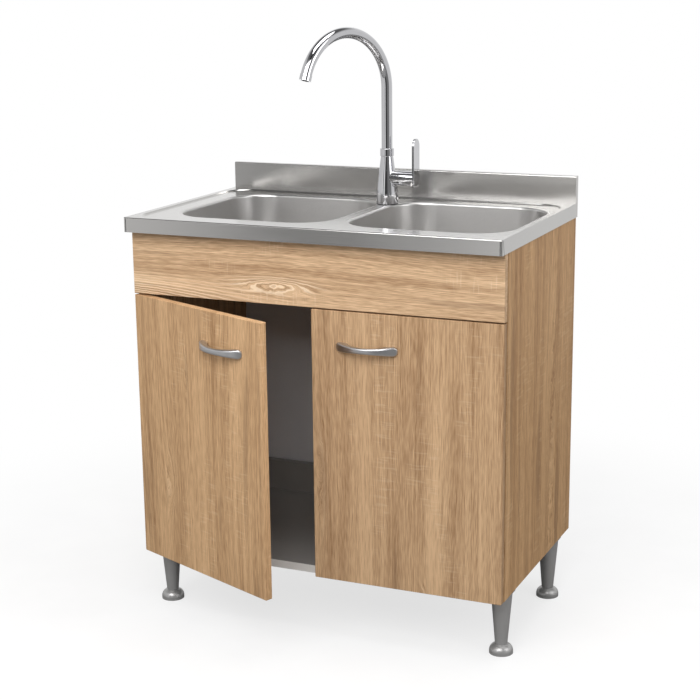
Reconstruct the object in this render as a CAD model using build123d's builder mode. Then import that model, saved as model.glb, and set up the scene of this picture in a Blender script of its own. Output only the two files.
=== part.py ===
"""Free-standing kitchen sink base cabinet.

An oak decor carcass with two hinged doors, a pressed steel sink top with two bowls and an upstand,
a swan-neck mixer tap and four levelling legs. Sizes are in millimetres, +Z is up and the front faces -Y.
The origin is on the floor, under the middle of the sink top.
"""

import os
from math import cos, radians, sin

from build123d import *

os.makedirs("parts", exist_ok=True)

# Sink top
rim_height = 850.0
sink_width = 800.0
sink_depth = 500.0
sheet = 1.0
skirt_height = 30.0
rim_edge_radius = 2.5
upstand_height = 57.0
upstand_depth = 16.0
recess_depth = 3.0
recess_rim = 12.0
recess_ledge = 22.0
recess_corner = 55.0
recess_edge_radius = 2.0
seam_inset = 4.0
seam_width = 0.8
seam_depth = 0.4
seam_drop = 3.0
seam_fold = 10.0

# Bowls
bowl_left_land = 63.0
bowl_right_land = 23.0
bowl_front_land = 72.5
bowl_back_land = 66.5
bowl_bridge = 34.0
bowl_corner = 80.0
bowl_depth = 135.0
bowl_taper = 4.0
bowl_floor_radius = 42.0
bowl_lip = 6.0
bowl_lip_radius = 5.0
waste_seat_play = 2.0
waste_seat_depth = 3.0
waste_hole_play = 3.5

# Carcass
board = 16.0
carcass_inset = 2.0
carcass_front_setback = 44.0
carcass_back_gap = 4.0
leg_height = 130.0
back_board = 3.0
back_groove_depth = 6.0
back_inset = 6.8
groove_play = 0.2
rear_rail_height = 70.0
rear_top_rail_height = 80.0
rear_rail_gap = 14.0
wall_hole_radius = 3.0
wall_hole_spacing = 600.0
dowel_radius = 4.0
dowel_in_side = 11.5
dowel_in_board = 23.0
dowel_play = 0.05
dowel_end_play = 0.5
dowel_step = 167.0
rail_dowel_edge = 20.0
front_rail_dowel_edge = 30.0

# Fronts
front_gap = 3.0
front_edge_inset = 0.5
door_gap = 2.5
door_height = 557.0
door_edge_radius = 1.2
door_rest_angle = 23.0
fascia_top_play = 1.0
fascia_screw_x = 300.0
fascia_screw_length = 28.0
fascia_screw_rise = 50.0
fascia_screw_drop = 55.0

# Hinges
hinge_end_distance = 100.0
pivot_from_edge = 8.0
pivot_from_front = 5.0
pivot_radius = 1.25
pivot_length = 18.0
pivot_play = 0.05
cup_radius = 17.5
cup_edge_distance = 4.0
cup_floor_depth = 3.0
cup_floor = 0.5
cup_flange = 1.0
cup_flange_overhang = 1.0
cup_ear_offset = 9.5
cup_ear_width = 12.0
cup_screw_spacing = 45.0
cup_ear_overhang = 5.5
slot_inner = 18.6
slot_outer = 3.0
slot_height = 9.0
arm_height = 8.0
arm_eye_radius = 2.2
arm_reach = 17.5
arm_leaf = 3.2
arm_tongue = 2.4
arm_body_start = 16.0
arm_body_end = 70.0
arm_body_height = 12.0
hinge_plate = 2.5
hinge_plate_start = 28.0
hinge_plate_height = 46.0
hinge_screw_from_front = 37.0
hinge_screw_spacing = 32.0

# Handles
handle_from_gap = 118.0
handle_below_top = 70.0
handle_length = 130.0
handle_projection = 27.0
handle_grip = 8.0
handle_foot_length = 23.0
handle_tip = 2.5
handle_end_height = 21.0
handle_middle_height = 12.0
handle_edge_radius = 4.0
handle_inner_radius = 1.5
handle_corner_radius = 9.0
handle_hole_spacing = 96.0
handle_screw_radius = 2.0
handle_screw_head_radius = 4.0
handle_screw_head = 2.2
handle_screw_grip = 8.0

# Screws shared by the panels
screw_radius = 2.0
screw_length = 13.0
screw_head_radius = 3.8
screw_head = 2.2
small_screw_radius = 1.5
small_screw_length = 9.0
small_screw_head_radius = 3.0
small_screw_head = 1.8
screw_play = 0.05

# Sink clips
clip_sheet = 1.5
clip_width = 30.0
clip_height = 30.0
clip_bowl_gap = 6.0
clip_rear_reach = 12.5
clip_x = 250.0
clip_screw_drop = 18.0

# Legs and feet
leg_from_side = 22.0
leg_from_front = 52.0
leg_from_back = 81.0
leg_top_radius = 21.5
leg_bottom_radius = 12.5
leg_plate = 2.5
leg_plate_length = 69.5
leg_screw_row = 31.0
leg_screw_spread = 12.0
leg_screw_lead = 10.0
foot_radius = 24.0
foot_height = 20.0
foot_base = 4.0
foot_neck_radius = 12.0
foot_shoulder_radius = 21.1
foot_shoulder_height = 13.9
foot_stud_radius = 5.0
foot_stud_length = 55.0
foot_bore_spare = 6.0
foot_gap = 0.5
foot_play = 0.05

# Wastes
flange_seat = 11.0
flange_sheet = 1.5
strainer_cup_radius = 40.0
strainer_cup_depth = 30.0
gasket_sheet = 3.0
waste_body_wall = 3.0
waste_body_flange = 4.0
waste_body_play = 4.5
waste_body_depth = 38.0
outlet_radius = 23.9
outlet_bore = 19.5
outlet_length = 22.0
waste_slot_ring = 24.0
waste_slot_radius = 6.0
waste_slot_count = 8
waste_screw_radius = 3.0
waste_screw_head_radius = 7.0
waste_screw_head = 3.0
waste_boss_radius = 8.0
waste_boss_gap = 1.5
waste_spoke = 5.0
basket_play = 2.0
basket_sheet = 1.2
basket_height = 22.0
basket_foot_radius = 14.0
basket_foot = 4.0
basket_hole_radius = 2.0
basket_ring_radii = (25.0, 19.0)
basket_ring_counts = (16, 12)
basket_knob_radius = 9.0
basket_knob = 6.0
basket_knob_edge = 1.5
basket_stem_radius = 3.5
basket_stem = 14.0
basket_gap = 0.3

# Tap
tap_from_bowl_back = 42.5
tap_hole_play = 1.3
tap_gasket = 1.5
tap_base_radius = 23.0
tap_base = 4.0
tap_belly_radius = 21.4
tap_belly_height = 36.0
tap_shoulder_radius = 16.5
tap_shoulder_height = 74.0
tap_top_radius = 13.0
tap_body_height = 101.0
tap_shank_radius = 13.2
tap_shank_length = 58.0
boss_height = 55.0
boss_radius = 15.75
boss_length = 29.0
collar_height = 16.0
collar_radius = 14.5
spigot_radius = 9.0
spigot_length = 26.0
spout_radius = 11.5
spout_wall = 2.0
spout_play = 0.05
spout_gap = 0.3
spout_bend_radius = 116.0
spout_bend_height = 243.0
spout_bend_angle = 161.0
spout_swing = 22.5
aerator_length = 12.0
aerator_radius = 12.2
aerator_bore = 8.0
aerator_screen = 2.0
aerator_hole_radius = 1.3
aerator_ring_radii = (3.4, 6.1)
aerator_ring_counts = (6, 12)
washer_radius = 19.5
washer_sheet = 3.0
washer_play = 0.4
nut_flats = 36.0
nut_height = 12.0
tail_radius = 5.0
tail_thread_radius = 4.0
tail_spacing = 13.0
tail_length = 90.0
tail_grip = 20.0
cartridge_radius = 12.4
cartridge_play = 0.1
cartridge_start = 5.0
cartridge_nut_inset = 1.0
cartridge_nut_length = 4.0
cartridge_nut_bore = 8.0
spindle_radius = 5.0
spindle_start = 12.0
spindle_in_hub = 8.4
hub_gap = 0.6
hub_length = 32.6
lever_gap = 0.3
lever_sheet = 4.5
lever_width = 33.0
lever_height = 84.0
lever_drop = 16.5
lever_corner = 7.0
lever_tilt = 25.0
lever_pin_from_end = 8.2
lever_pin_radius = 1.5
lever_pin_length = 24.0
tongue_width = 8.0
tongue_height = 10.0
tongue_play = 0.3
tongue_back = 5.0

# How far a face may lie from a plane and still be picked by it
pick_reach = 0.01

# Heights and planes worked out from the driving dimensions
deck_top = rim_height - recess_depth
deck_under = deck_top - sheet
rim_under = rim_height - sheet
skirt_bottom = rim_height - skirt_height
sink_front = -sink_depth / 2
sink_back = sink_depth / 2
upstand_front = sink_back - upstand_depth
side_out = sink_width / 2 - carcass_inset
side_in = side_out - board
carcass_back = sink_back - carcass_back_gap
carcass_front = sink_front + carcass_front_setback
floor_top = leg_height + board
door_back = carcass_front - door_gap
door_front = door_back - board
front_edge = side_out - front_edge_inset
door_width = front_edge - front_gap / 2
door_top = leg_height + door_height
fascia_bottom = door_top + front_gap
fascia_top = deck_under - fascia_top_play
rail_rear_face = door_back + board
back_panel_back = carcass_back - back_inset
back_panel_front = back_panel_back - back_board
back_panel_bottom = floor_top + groove_play
rear_rail_back = back_panel_front - rear_rail_gap
top_rail_front = back_panel_front - groove_play - board
top_rail_bottom = rim_under - rear_top_rail_height
hinge_heights = (leg_height + hinge_end_distance, door_top - hinge_end_distance)
pivot_x = front_edge - pivot_from_edge
pivot_y = door_front + pivot_from_front
door_back_local = board - pivot_from_front
cup_x = pivot_from_edge - cup_edge_distance - cup_radius
side_in_local = side_in - pivot_x
handle_x = front_gap / 2 + handle_from_gap - pivot_x
handle_z = door_top - handle_below_top
bowl_width = (sink_width - bowl_left_land - bowl_right_land - bowl_bridge) / 2
bowl_front = sink_front + bowl_front_land
bowl_back = upstand_front - bowl_back_land
bowl_length = bowl_back - bowl_front
bowl_pair_x = (bowl_left_land - bowl_right_land) / 2
bowl_pair_y = (bowl_front + bowl_back) / 2
bowl_centres = {
    "left": bowl_pair_x - (bowl_width + bowl_bridge) / 2,
    "right": bowl_pair_x + (bowl_width + bowl_bridge) / 2,
}
bowl_floor = deck_top - bowl_depth
cup_outer = strainer_cup_radius + flange_sheet
waste_hole_radius = cup_outer + waste_hole_play
flange_radius = waste_hole_radius + flange_seat
waste_seat_radius = flange_radius + waste_seat_play
seat_top = bowl_floor - waste_seat_depth
seat_under = seat_top - sheet
tap_x = bowl_pair_x
tap_y = bowl_back - tap_from_bowl_back
tap_hole_radius = tap_shank_radius + tap_hole_play
tap_seat = deck_top + tap_gasket
boss_z = deck_top + boss_height
body_top = deck_top + tap_body_height
spout_bend_z = deck_top + spout_bend_height
leg_x = side_out - leg_from_side
leg_front_y = carcass_front + leg_from_front
leg_rear_y = carcass_back - leg_from_back
legs = {
    "front_left": (-leg_x, leg_front_y),
    "front_right": (leg_x, leg_front_y),
    "rear_left": (-leg_x, leg_rear_y),
    "rear_right": (leg_x, leg_rear_y),
}
sides = {"left": -1, "right": 1}

# Closed position of each door's hinge line, and the left door swung open as it stands at rest
hinge_planes = {
    name: Plane(origin=(side * pivot_x, pivot_y, 0), x_dir=(1, 0, 0), z_dir=(0, 0, 1))
    for name, side in sides.items()
}
rest_angles = {"left": radians(-door_rest_angle), "right": 0.0}
door_planes = {
    name: Plane(
        origin=plane.origin,
        x_dir=(cos(rest_angles[name]), sin(rest_angles[name]), 0),
        z_dir=(0, 0, 1),
    )
    for name, plane in hinge_planes.items()
}

ALONG_X = (0, 90, 0)
ALONG_Y = (-90, 0, 0)
FROM_START = (Align.CENTER, Align.CENTER, Align.MIN)
TO_END = (Align.CENTER, Align.CENTER, Align.MAX)


def write(piece, node):
    """Label a finished piece and write it under its node's name."""
    piece.part.label = node
    export_step(piece.part, f"parts/{node}.step")


def slab(x_span, y_span, z_span, mode=Mode.ADD):
    """A block between two values on each axis of the piece being built."""
    spans = (x_span, y_span, z_span)
    middle = tuple((low + high) / 2 for low, high in spans)
    size = tuple(abs(high - low) for low, high in spans)
    with Locations(middle):
        Box(*size, mode=mode)


def ring(points, axis_plane):
    """Turn an outline of radius and height pairs about the vertical axis of a plane."""
    with BuildSketch(axis_plane) as outline:
        with BuildLine():
            Polyline(*points, close=True)
        make_face()
    revolve(outline.sketch, axis=Axis(axis_plane.origin, (0, 0, 1)))


def level_face(piece, height):
    """The flat face of a piece at a height."""
    return piece.faces().filter_by_position(Axis.Z, height - pick_reach, height + pick_reach)[0]


def upright(x, y):
    """A vertical plane whose sketch axes are the radius along +X and the height."""
    return Plane(origin=(x, y, 0), x_dir=(1, 0, 0), z_dir=(0, -1, 0))


def screw_set(planes, radius, length, head_radius, head):
    """Screws whose heads seat on the planes and whose shafts run into the material behind."""
    with Locations(*planes):
        Cylinder(radius, length, align=TO_END)
        Cylinder(head_radius, head, align=FROM_START)


def screw_holes(planes, radius, depth):
    """Holes from the planes into the material behind them."""
    with Locations(*planes):
        Cylinder(radius + screw_play, depth, align=TO_END, mode=Mode.SUBTRACT)


# Dowel places on each board, as (y, z) on its two ends
front_rail_y = (door_back + rail_rear_face) / 2
top_rail_y = top_rail_front + board / 2
bottom_rail_y = rear_rail_back - board / 2
bottom_board_z = leg_height + board / 2
carcass_middle = (carcass_front + carcass_back) / 2
dowel_spots = {
    "bottom_panel": [(carcass_middle + n * dowel_step, bottom_board_z) for n in (-1, 0, 1)],
    "front_rail": [(front_rail_y, fascia_bottom + front_rail_dowel_edge),
                   (front_rail_y, deck_under - front_rail_dowel_edge)],
    "rear_top_rail": [(top_rail_y, top_rail_bottom + rail_dowel_edge),
                      (top_rail_y, rim_under - rail_dowel_edge)],
    "rear_bottom_rail": [(bottom_rail_y, floor_top + rail_dowel_edge),
                         (bottom_rail_y, floor_top + rear_rail_height - rail_dowel_edge)],
}
all_dowel_spots = [spot for spots in dowel_spots.values() for spot in spots]


def dowel_holes_in_board(node):
    """Blind holes in both ends of a board that spans the two side panels."""
    for side in sides.values():
        for y, z in dowel_spots[node]:
            depth = dowel_in_board + dowel_end_play
            slot = Location((side * (side_in - depth / 2), y, z), ALONG_X)
            with Locations(slot):
                Cylinder(dowel_radius + dowel_play, depth, mode=Mode.SUBTRACT)


# Screw seats on the carcass
hinge_screw_planes = {}
for name, side in sides.items():
    seat_x = side * (side_in - hinge_plate)
    seat_y = carcass_front + hinge_screw_from_front
    hinge_screw_planes[name] = [
        Plane(origin=(seat_x, seat_y, z + offset), x_dir=(0, 1, 0), z_dir=(-side, 0, 0))
        for z in hinge_heights
        for offset in (-hinge_screw_spacing / 2, hinge_screw_spacing / 2)
    ]
clip_screw_z = deck_under - clip_screw_drop
front_clip_planes = [
    Plane(origin=(x, rail_rear_face + clip_sheet, clip_screw_z), x_dir=(1, 0, 0), z_dir=(0, 1, 0))
    for x in (-clip_x, clip_x)
]
rear_clip_planes = [
    Plane(origin=(x, top_rail_front - clip_sheet, clip_screw_z), x_dir=(1, 0, 0), z_dir=(0, -1, 0))
    for x in (-clip_x, clip_x)
]
leg_screw_planes = []
for x, y in legs.values():
    inward = -1 if x > 0 else 1
    row_x = x + inward * leg_screw_row
    seats = [(row_x, y - leg_screw_spread), (row_x, y + leg_screw_spread),
             (row_x + inward * leg_screw_lead, y)]
    for seat in seats:
        leg_screw_planes.append(
            Plane(origin=(*seat, leg_height - leg_plate), x_dir=(1, 0, 0), z_dir=(0, 0, -1))
        )
fascia_screw_heights = (fascia_bottom + fascia_screw_rise, deck_under - fascia_screw_drop)
fascia_screw_planes = [
    Plane(origin=(x, rail_rear_face, z), x_dir=(1, 0, 0), z_dir=(0, 1, 0))
    for x in (-fascia_screw_x, fascia_screw_x)
    for z in fascia_screw_heights
]

# Side panels, grooved for the back panel and drilled for dowels and hinge plates
for name, side in sides.items():
    with BuildPart() as side_panel:
        slab((side * side_in, side * side_out), (carcass_front, carcass_back), (leg_height, deck_under))
        slab(
            (side * side_in, side * (side_in + back_groove_depth)),
            (back_panel_front - groove_play, back_panel_back + groove_play),
            (floor_top, deck_under),
            Mode.SUBTRACT,
        )
        depth = dowel_in_side + dowel_end_play
        for y, z in all_dowel_spots:
            with Locations(Location((side * (side_in + depth / 2), y, z), ALONG_X)):
                Cylinder(dowel_radius + dowel_play, depth, mode=Mode.SUBTRACT)
        screw_holes(hinge_screw_planes[name], screw_radius, screw_length + screw_play)
    write(side_panel, f"{name}_side_panel")

with BuildPart() as bottom_panel:
    slab((-side_in, side_in), (carcass_front, carcass_back), (leg_height, floor_top))
    dowel_holes_in_board("bottom_panel")
    screw_holes(leg_screw_planes, screw_radius, screw_length + screw_play)
write(bottom_panel, "bottom_panel")

with BuildPart() as front_rail:
    slab((-side_in, side_in), (door_back, rail_rear_face), (fascia_bottom, deck_under))
    dowel_holes_in_board("front_rail")
    screw_holes(front_clip_planes, screw_radius, screw_length + screw_play)
    screw_holes(fascia_screw_planes, screw_radius, fascia_screw_length + screw_play)
write(front_rail, "front_rail")

wall_hole_z = top_rail_bottom + rear_top_rail_height / 2
wall_holes = [Location((x, back_panel_front, wall_hole_z), ALONG_Y)
              for x in (-wall_hole_spacing / 2, wall_hole_spacing / 2)]
with BuildPart() as rear_top_rail:
    slab((-side_in, side_in), (top_rail_front, top_rail_front + board), (top_rail_bottom, rim_under))
    dowel_holes_in_board("rear_top_rail")
    screw_holes(rear_clip_planes, screw_radius, screw_length + screw_play)
    with Locations(*wall_holes):
        Cylinder(wall_hole_radius, 4 * board, mode=Mode.SUBTRACT)
write(rear_top_rail, "rear_top_rail")

with BuildPart() as rear_bottom_rail:
    rail_span = (floor_top, floor_top + rear_rail_height)
    slab((-side_in, side_in), (rear_rail_back - board, rear_rail_back), rail_span)
    dowel_holes_in_board("rear_bottom_rail")
write(rear_bottom_rail, "rear_bottom_rail")

back_half = side_in + back_groove_depth - groove_play
with BuildPart() as back_panel:
    back_span = (back_panel_bottom, deck_under - groove_play)
    slab((-back_half, back_half), (back_panel_front, back_panel_back), back_span)
    with Locations(*wall_holes):
        Cylinder(wall_hole_radius, 4 * board, mode=Mode.SUBTRACT)
write(back_panel, "back_panel")

with BuildPart() as fascia_panel:
    slab((-front_edge, front_edge), (door_front, door_back), (fascia_bottom, fascia_top))
    fillet(fascia_panel.edges().group_by(Axis.Y)[0], radius=door_edge_radius)
    screw_holes(fascia_screw_planes, screw_radius, fascia_screw_length + screw_play)
write(fascia_panel, "fascia_panel")

with BuildPart() as carcass_dowels:
    dowel_length = dowel_in_side + dowel_in_board
    for side in sides.values():
        for y, z in all_dowel_spots:
            middle = side * (side_in + (dowel_in_side - dowel_in_board) / 2)
            with Locations(Location((middle, y, z), ALONG_X)):
                Cylinder(dowel_radius, dowel_length)
write(carcass_dowels, "carcass_dowels")

with BuildPart() as fascia_screws:
    screw_set(fascia_screw_planes, screw_radius, fascia_screw_length, screw_head_radius, screw_head)
write(fascia_screws, "fascia_screws")

# Sink top: one folded sheet with a recessed deck, bowl openings and a hollow upstand
bowl_spots = [(x, bowl_pair_y) for x in bowl_centres.values()]
lip_width = bowl_width + 2 * bowl_lip
lip_length = bowl_length + 2 * bowl_lip
lip_corner = bowl_corner + bowl_lip
recess_width = sink_width - 2 * recess_rim
recess_front = sink_front + recess_rim
recess_back = upstand_front - recess_ledge
recess_length = recess_back - recess_front
recess_middle = (0, (recess_front + recess_back) / 2)
with BuildPart() as sink_top:
    sink_span = (-sink_width / 2, sink_width / 2)
    slab(sink_span, (sink_front, sink_back), (skirt_bottom, rim_height))
    slab(sink_span, (upstand_front, sink_back), (rim_height, rim_height + upstand_height))
    front_rim = sink_top.edges().filter_by(Axis.X).filter_by_position(Axis.Z, rim_height, rim_height)
    front_corners = sink_top.edges().filter_by(Axis.Z).group_by(Axis.Y)[0]
    fillet([front_rim.sort_by(Axis.Y)[0], *front_corners], radius=rim_edge_radius)
    top_edges = sink_top.edges().filter_by(Axis.X).group_by(Axis.Z)[-1]
    fillet(top_edges, radius=rim_edge_radius)
    offset(amount=-sheet, openings=sink_top.faces().sort_by(Axis.Z)[0])
    with BuildSketch(Plane.XY.offset(deck_under)):
        with Locations(recess_middle):
            RectangleRounded(recess_width + 2 * sheet, recess_length + 2 * sheet, recess_corner + sheet)
    extrude(amount=recess_depth)
    with BuildSketch(Plane.XY.offset(rim_height)):
        with Locations(recess_middle):
            RectangleRounded(recess_width, recess_length, recess_corner)
    extrude(amount=-recess_depth, taper=45, mode=Mode.SUBTRACT)
    fillet(level_face(sink_top, rim_height).inner_wires()[0].edges(), radius=recess_edge_radius)
    fillet(level_face(sink_top, deck_top).outer_wire().edges(), radius=recess_edge_radius)
    seam_span = (skirt_bottom, rim_height - seam_drop)
    for side in sides.values():
        seam_x = side * (sink_width / 2 - seam_inset)
        seam_edges = (seam_x - seam_width / 2, seam_x + seam_width / 2)
        slab(seam_edges, (sink_front, sink_front + seam_depth), seam_span, Mode.SUBTRACT)
        seam_corner = (side * sink_width / 2, sink_front, 0)
        with BuildSketch(Plane(origin=seam_corner, x_dir=(0, 1, 0), z_dir=(1, 0, 0))):
            with BuildLine():
                Polyline((seam_inset, seam_span[1]), (seam_inset + seam_width, seam_span[1]),
                         (seam_fold + seam_width, skirt_bottom), (seam_fold, skirt_bottom), close=True)
            make_face()
        extrude(amount=seam_depth, both=True, mode=Mode.SUBTRACT)
    with BuildSketch(Plane.XY.offset(deck_top)):
        with Locations(*bowl_spots):
            RectangleRounded(lip_width, lip_length, lip_corner)
        with Locations((tap_x, tap_y)):
            Circle(tap_hole_radius)
    extrude(amount=-2 * sheet, mode=Mode.SUBTRACT)
write(sink_top, "sink_top")


def bowl_form(centre, growth, lip_plane, lip_height, lip_radius):
    """The solid inside a bowl's skin: tapered walls, rounded floor, waste seat and a rolled lip."""
    with BuildPart() as form:
        with BuildSketch(Plane.XY.offset(deck_top)):
            with Locations((centre, bowl_pair_y)):
                mouth = (bowl_width + 2 * growth, bowl_length + 2 * growth)
                RectangleRounded(*mouth, bowl_corner + growth)
        extrude(amount=-(bowl_depth + growth), taper=bowl_taper)
        floor_edges = form.edges().group_by(Axis.Z)[0]
        fillet(floor_edges, radius=bowl_floor_radius + growth)
        with Locations((centre, bowl_pair_y, seat_top - growth)):
            Cylinder(waste_seat_radius + growth, bowl_floor_radius, align=FROM_START)
        with BuildSketch(Plane.XY.offset(lip_plane)):
            with Locations((centre, bowl_pair_y)):
                RectangleRounded(lip_width, lip_length, lip_corner)
        extrude(amount=lip_height)
        fillet(level_face(form, lip_plane).inner_wires()[0].edges(), radius=lip_radius)
    return form.part


for name, centre in bowl_centres.items():
    outside = bowl_form(centre, sheet, deck_under, sheet, bowl_lip_radius - sheet)
    inside = bowl_form(centre, 0, deck_top, bowl_lip, bowl_lip_radius)
    with BuildPart() as bowl:
        add(outside)
        add(inside, mode=Mode.SUBTRACT)
        with Locations((centre, bowl_pair_y, seat_top)):
            Cylinder(waste_hole_radius, bowl_depth, mode=Mode.SUBTRACT)
    write(bowl, f"{name}_bowl")

# Wastes: a steel flange with a strainer cup, a gasket, a body with the outlet and a lift-out basket
cup_bottom = seat_top + flange_sheet - strainer_cup_depth
cup_floor_top = cup_bottom + flange_sheet
gasket_bottom = seat_under - gasket_sheet
waste_bottom = gasket_bottom - waste_body_depth
waste_floor = waste_bottom + waste_body_flange
waste_bore = cup_outer + waste_body_play
waste_body_radius = waste_bore + waste_body_wall
boss_top = cup_bottom - waste_boss_gap
basket_low = cup_floor_top + basket_gap
basket_floor = basket_low + basket_foot
basket_top = basket_floor + basket_height
knob_low = basket_floor + basket_sheet + basket_stem
basket_radius = strainer_cup_radius - basket_play
basket_floor_radius = basket_radius - basket_foot
waste_axes = {name: upright(x, bowl_pair_y) for name, x in bowl_centres.items()}

for name, centre in bowl_centres.items():
    with BuildPart() as waste_flange:
        ring(
            [
                (0, cup_bottom), (cup_outer, cup_bottom), (cup_outer, seat_top), (flange_radius, seat_top),
                (flange_radius, seat_top + flange_sheet), (strainer_cup_radius, seat_top + flange_sheet),
                (strainer_cup_radius, cup_floor_top), (0, cup_floor_top),
            ],
            waste_axes[name],
        )
        with Locations((centre, bowl_pair_y, cup_bottom)):
            Cylinder(waste_screw_radius + screw_play, 4 * flange_sheet, mode=Mode.SUBTRACT)
            with PolarLocations(waste_slot_ring, waste_slot_count):
                Cylinder(waste_slot_radius, 4 * flange_sheet, mode=Mode.SUBTRACT)
    write(waste_flange, f"{name}_waste_flange")

    with BuildPart() as waste_body:
        ring(
            [
                (waste_bore, gasket_bottom), (flange_radius, gasket_bottom),
                (flange_radius, gasket_bottom - waste_body_flange),
                (waste_body_radius, gasket_bottom - waste_body_flange), (waste_body_radius, waste_bottom),
                (outlet_radius, waste_bottom), (outlet_radius, waste_bottom - outlet_length),
                (outlet_bore, waste_bottom - outlet_length), (outlet_bore, waste_floor),
                (waste_bore, waste_floor),
            ],
            waste_axes[name],
        )
        spoke_x = (centre - outlet_bore - waste_body_wall / 2, centre + outlet_bore + waste_body_wall / 2)
        spoke_y = (bowl_pair_y - waste_spoke / 2, bowl_pair_y + waste_spoke / 2)
        slab(spoke_x, spoke_y, (waste_bottom, waste_floor))
        with Locations((centre, bowl_pair_y, waste_bottom)):
            Cylinder(waste_boss_radius, boss_top - waste_bottom, align=FROM_START)
            Cylinder(waste_screw_radius + screw_play, 4 * waste_boss_radius, mode=Mode.SUBTRACT)
    write(waste_body, f"{name}_waste_body")

    with BuildPart() as strainer_basket:
        ring(
            [
                (basket_foot_radius - basket_foot, basket_low), (basket_foot_radius, basket_low),
                (basket_foot_radius, basket_floor), (basket_floor_radius, basket_floor),
                (basket_radius, basket_top), (basket_radius - basket_sheet, basket_top),
                (basket_floor_radius - basket_sheet, basket_floor + basket_sheet),
                (basket_stem_radius, basket_floor + basket_sheet), (basket_stem_radius, knob_low),
                (basket_knob_radius, knob_low), (basket_knob_radius, knob_low + basket_knob),
                (0, knob_low + basket_knob), (0, basket_floor),
                (basket_foot_radius - basket_foot, basket_floor),
            ],
            waste_axes[name],
        )
        with Locations((centre, bowl_pair_y, basket_floor)):
            for row_radius, row_count in zip(basket_ring_radii, basket_ring_counts):
                with PolarLocations(row_radius, row_count):
                    Cylinder(basket_hole_radius, 4 * basket_sheet, mode=Mode.SUBTRACT)
        knob_edges = strainer_basket.edges().filter_by(GeomType.CIRCLE).group_by(Axis.Z)
        knob_rims = [edge for edge in knob_edges[-2] + knob_edges[-1]
                     if abs(edge.radius - basket_knob_radius) < pick_reach]
        fillet(knob_rims, radius=basket_knob_edge)
    write(strainer_basket, f"{name}_strainer_basket")

with BuildPart() as waste_gaskets:
    with BuildSketch(Plane.XY.offset(gasket_bottom)):
        with Locations(*bowl_spots):
            Circle(flange_radius)
            Circle((waste_hole_radius + cup_outer) / 2, mode=Mode.SUBTRACT)
    extrude(amount=gasket_sheet)
write(waste_gaskets, "waste_gaskets")

with BuildPart() as waste_screws:
    seats = [Plane(origin=(*spot, cup_floor_top)) for spot in bowl_spots]
    shaft = cup_floor_top - waste_bottom
    screw_set(seats, waste_screw_radius, shaft, waste_screw_head_radius, waste_screw_head)
write(waste_screws, "waste_screws")

# Sink clips on the front rail and the upper rear rail
clip_front_end = bowl_front - sheet - clip_bowl_gap
with BuildPart() as sink_clips:
    for x in (-clip_x, clip_x):
        span = (x - clip_width / 2, x + clip_width / 2)
        front_face = rail_rear_face + clip_sheet
        rear_face = top_rail_front - clip_sheet
        slab(span, (rail_rear_face, front_face), (deck_under - clip_height, deck_under))
        slab(span, (rail_rear_face, clip_front_end), (deck_under - clip_sheet, deck_under))
        slab(span, (rear_face, top_rail_front), (deck_under - clip_height, deck_under))
        slab(span, (rear_face - clip_rear_reach, top_rail_front), (deck_under - clip_sheet, deck_under))
    screw_holes(front_clip_planes + rear_clip_planes, screw_radius, 2 * clip_sheet)
write(sink_clips, "sink_clips")

# Legs, plates and levelling feet
leg_bottom = foot_height + foot_gap
leg_top = leg_height - leg_plate
leg_bore = foot_stud_radius + foot_play
stud_top = foot_height + foot_stud_length
leg_bore_top = stud_top + foot_bore_spare
with BuildPart() as leg_group:
    for x, y in legs.values():
        ring(
            [
                (leg_bore, leg_bottom), (leg_bottom_radius, leg_bottom), (leg_top_radius, leg_top),
                (0, leg_top), (0, leg_bore_top), (leg_bore, leg_bore_top),
            ],
            upright(x, y),
        )
write(leg_group, "legs")

with BuildPart() as leg_plates:
    for x, y in legs.values():
        outward = 1 if x > 0 else -1
        outer_x = x + outward * leg_top_radius
        slab(
            (outer_x - outward * leg_plate_length, outer_x),
            (y - leg_top_radius, y + leg_top_radius),
            (leg_top, leg_height),
        )
    screw_holes(leg_screw_planes, screw_radius, 2 * leg_plate)
write(leg_plates, "leg_plates")

for name, (x, y) in legs.items():
    with BuildPart() as foot:
        with BuildSketch(upright(x, y)):
            with BuildLine():
                Polyline((foot_neck_radius, foot_height), (foot_stud_radius, foot_height),
                         (foot_stud_radius, stud_top), (0, stud_top),
                         (0, 0), (foot_radius, 0), (foot_radius, foot_base))
                shoulder = (foot_shoulder_radius, foot_shoulder_height)
                ThreePointArc((foot_radius, foot_base), shoulder, (foot_neck_radius, foot_height))
            make_face()
        revolve(axis=Axis((x, y, 0), (0, 0, 1)))
    write(foot, f"{name}_foot")

# Hinges: cups and pins on the doors, arms and plates on the side panels
cup_depth = door_back_local + cup_floor_depth
ear_x = cup_x - cup_ear_offset
flange_top = door_back_local + cup_flange
cup_flange_radius = cup_radius + cup_flange_overhang
handle_face = -pivot_from_front


def cup_screw_seats(side):
    """Places of the cup screws in a door's own frame, with the heads on the flange."""
    return [
        Location((side * ear_x, flange_top, z + offset), ALONG_Y)
        for z in hinge_heights
        for offset in (-cup_screw_spacing / 2, cup_screw_spacing / 2)
    ]


def handle_screw_seats(side):
    """Places of the handle screws in a door's own frame, with the heads on the door's back."""
    return [
        Location((side * handle_x + offset, door_back_local, handle_z), ALONG_Y)
        for offset in (-handle_hole_spacing / 2, handle_hole_spacing / 2)
    ]


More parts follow.
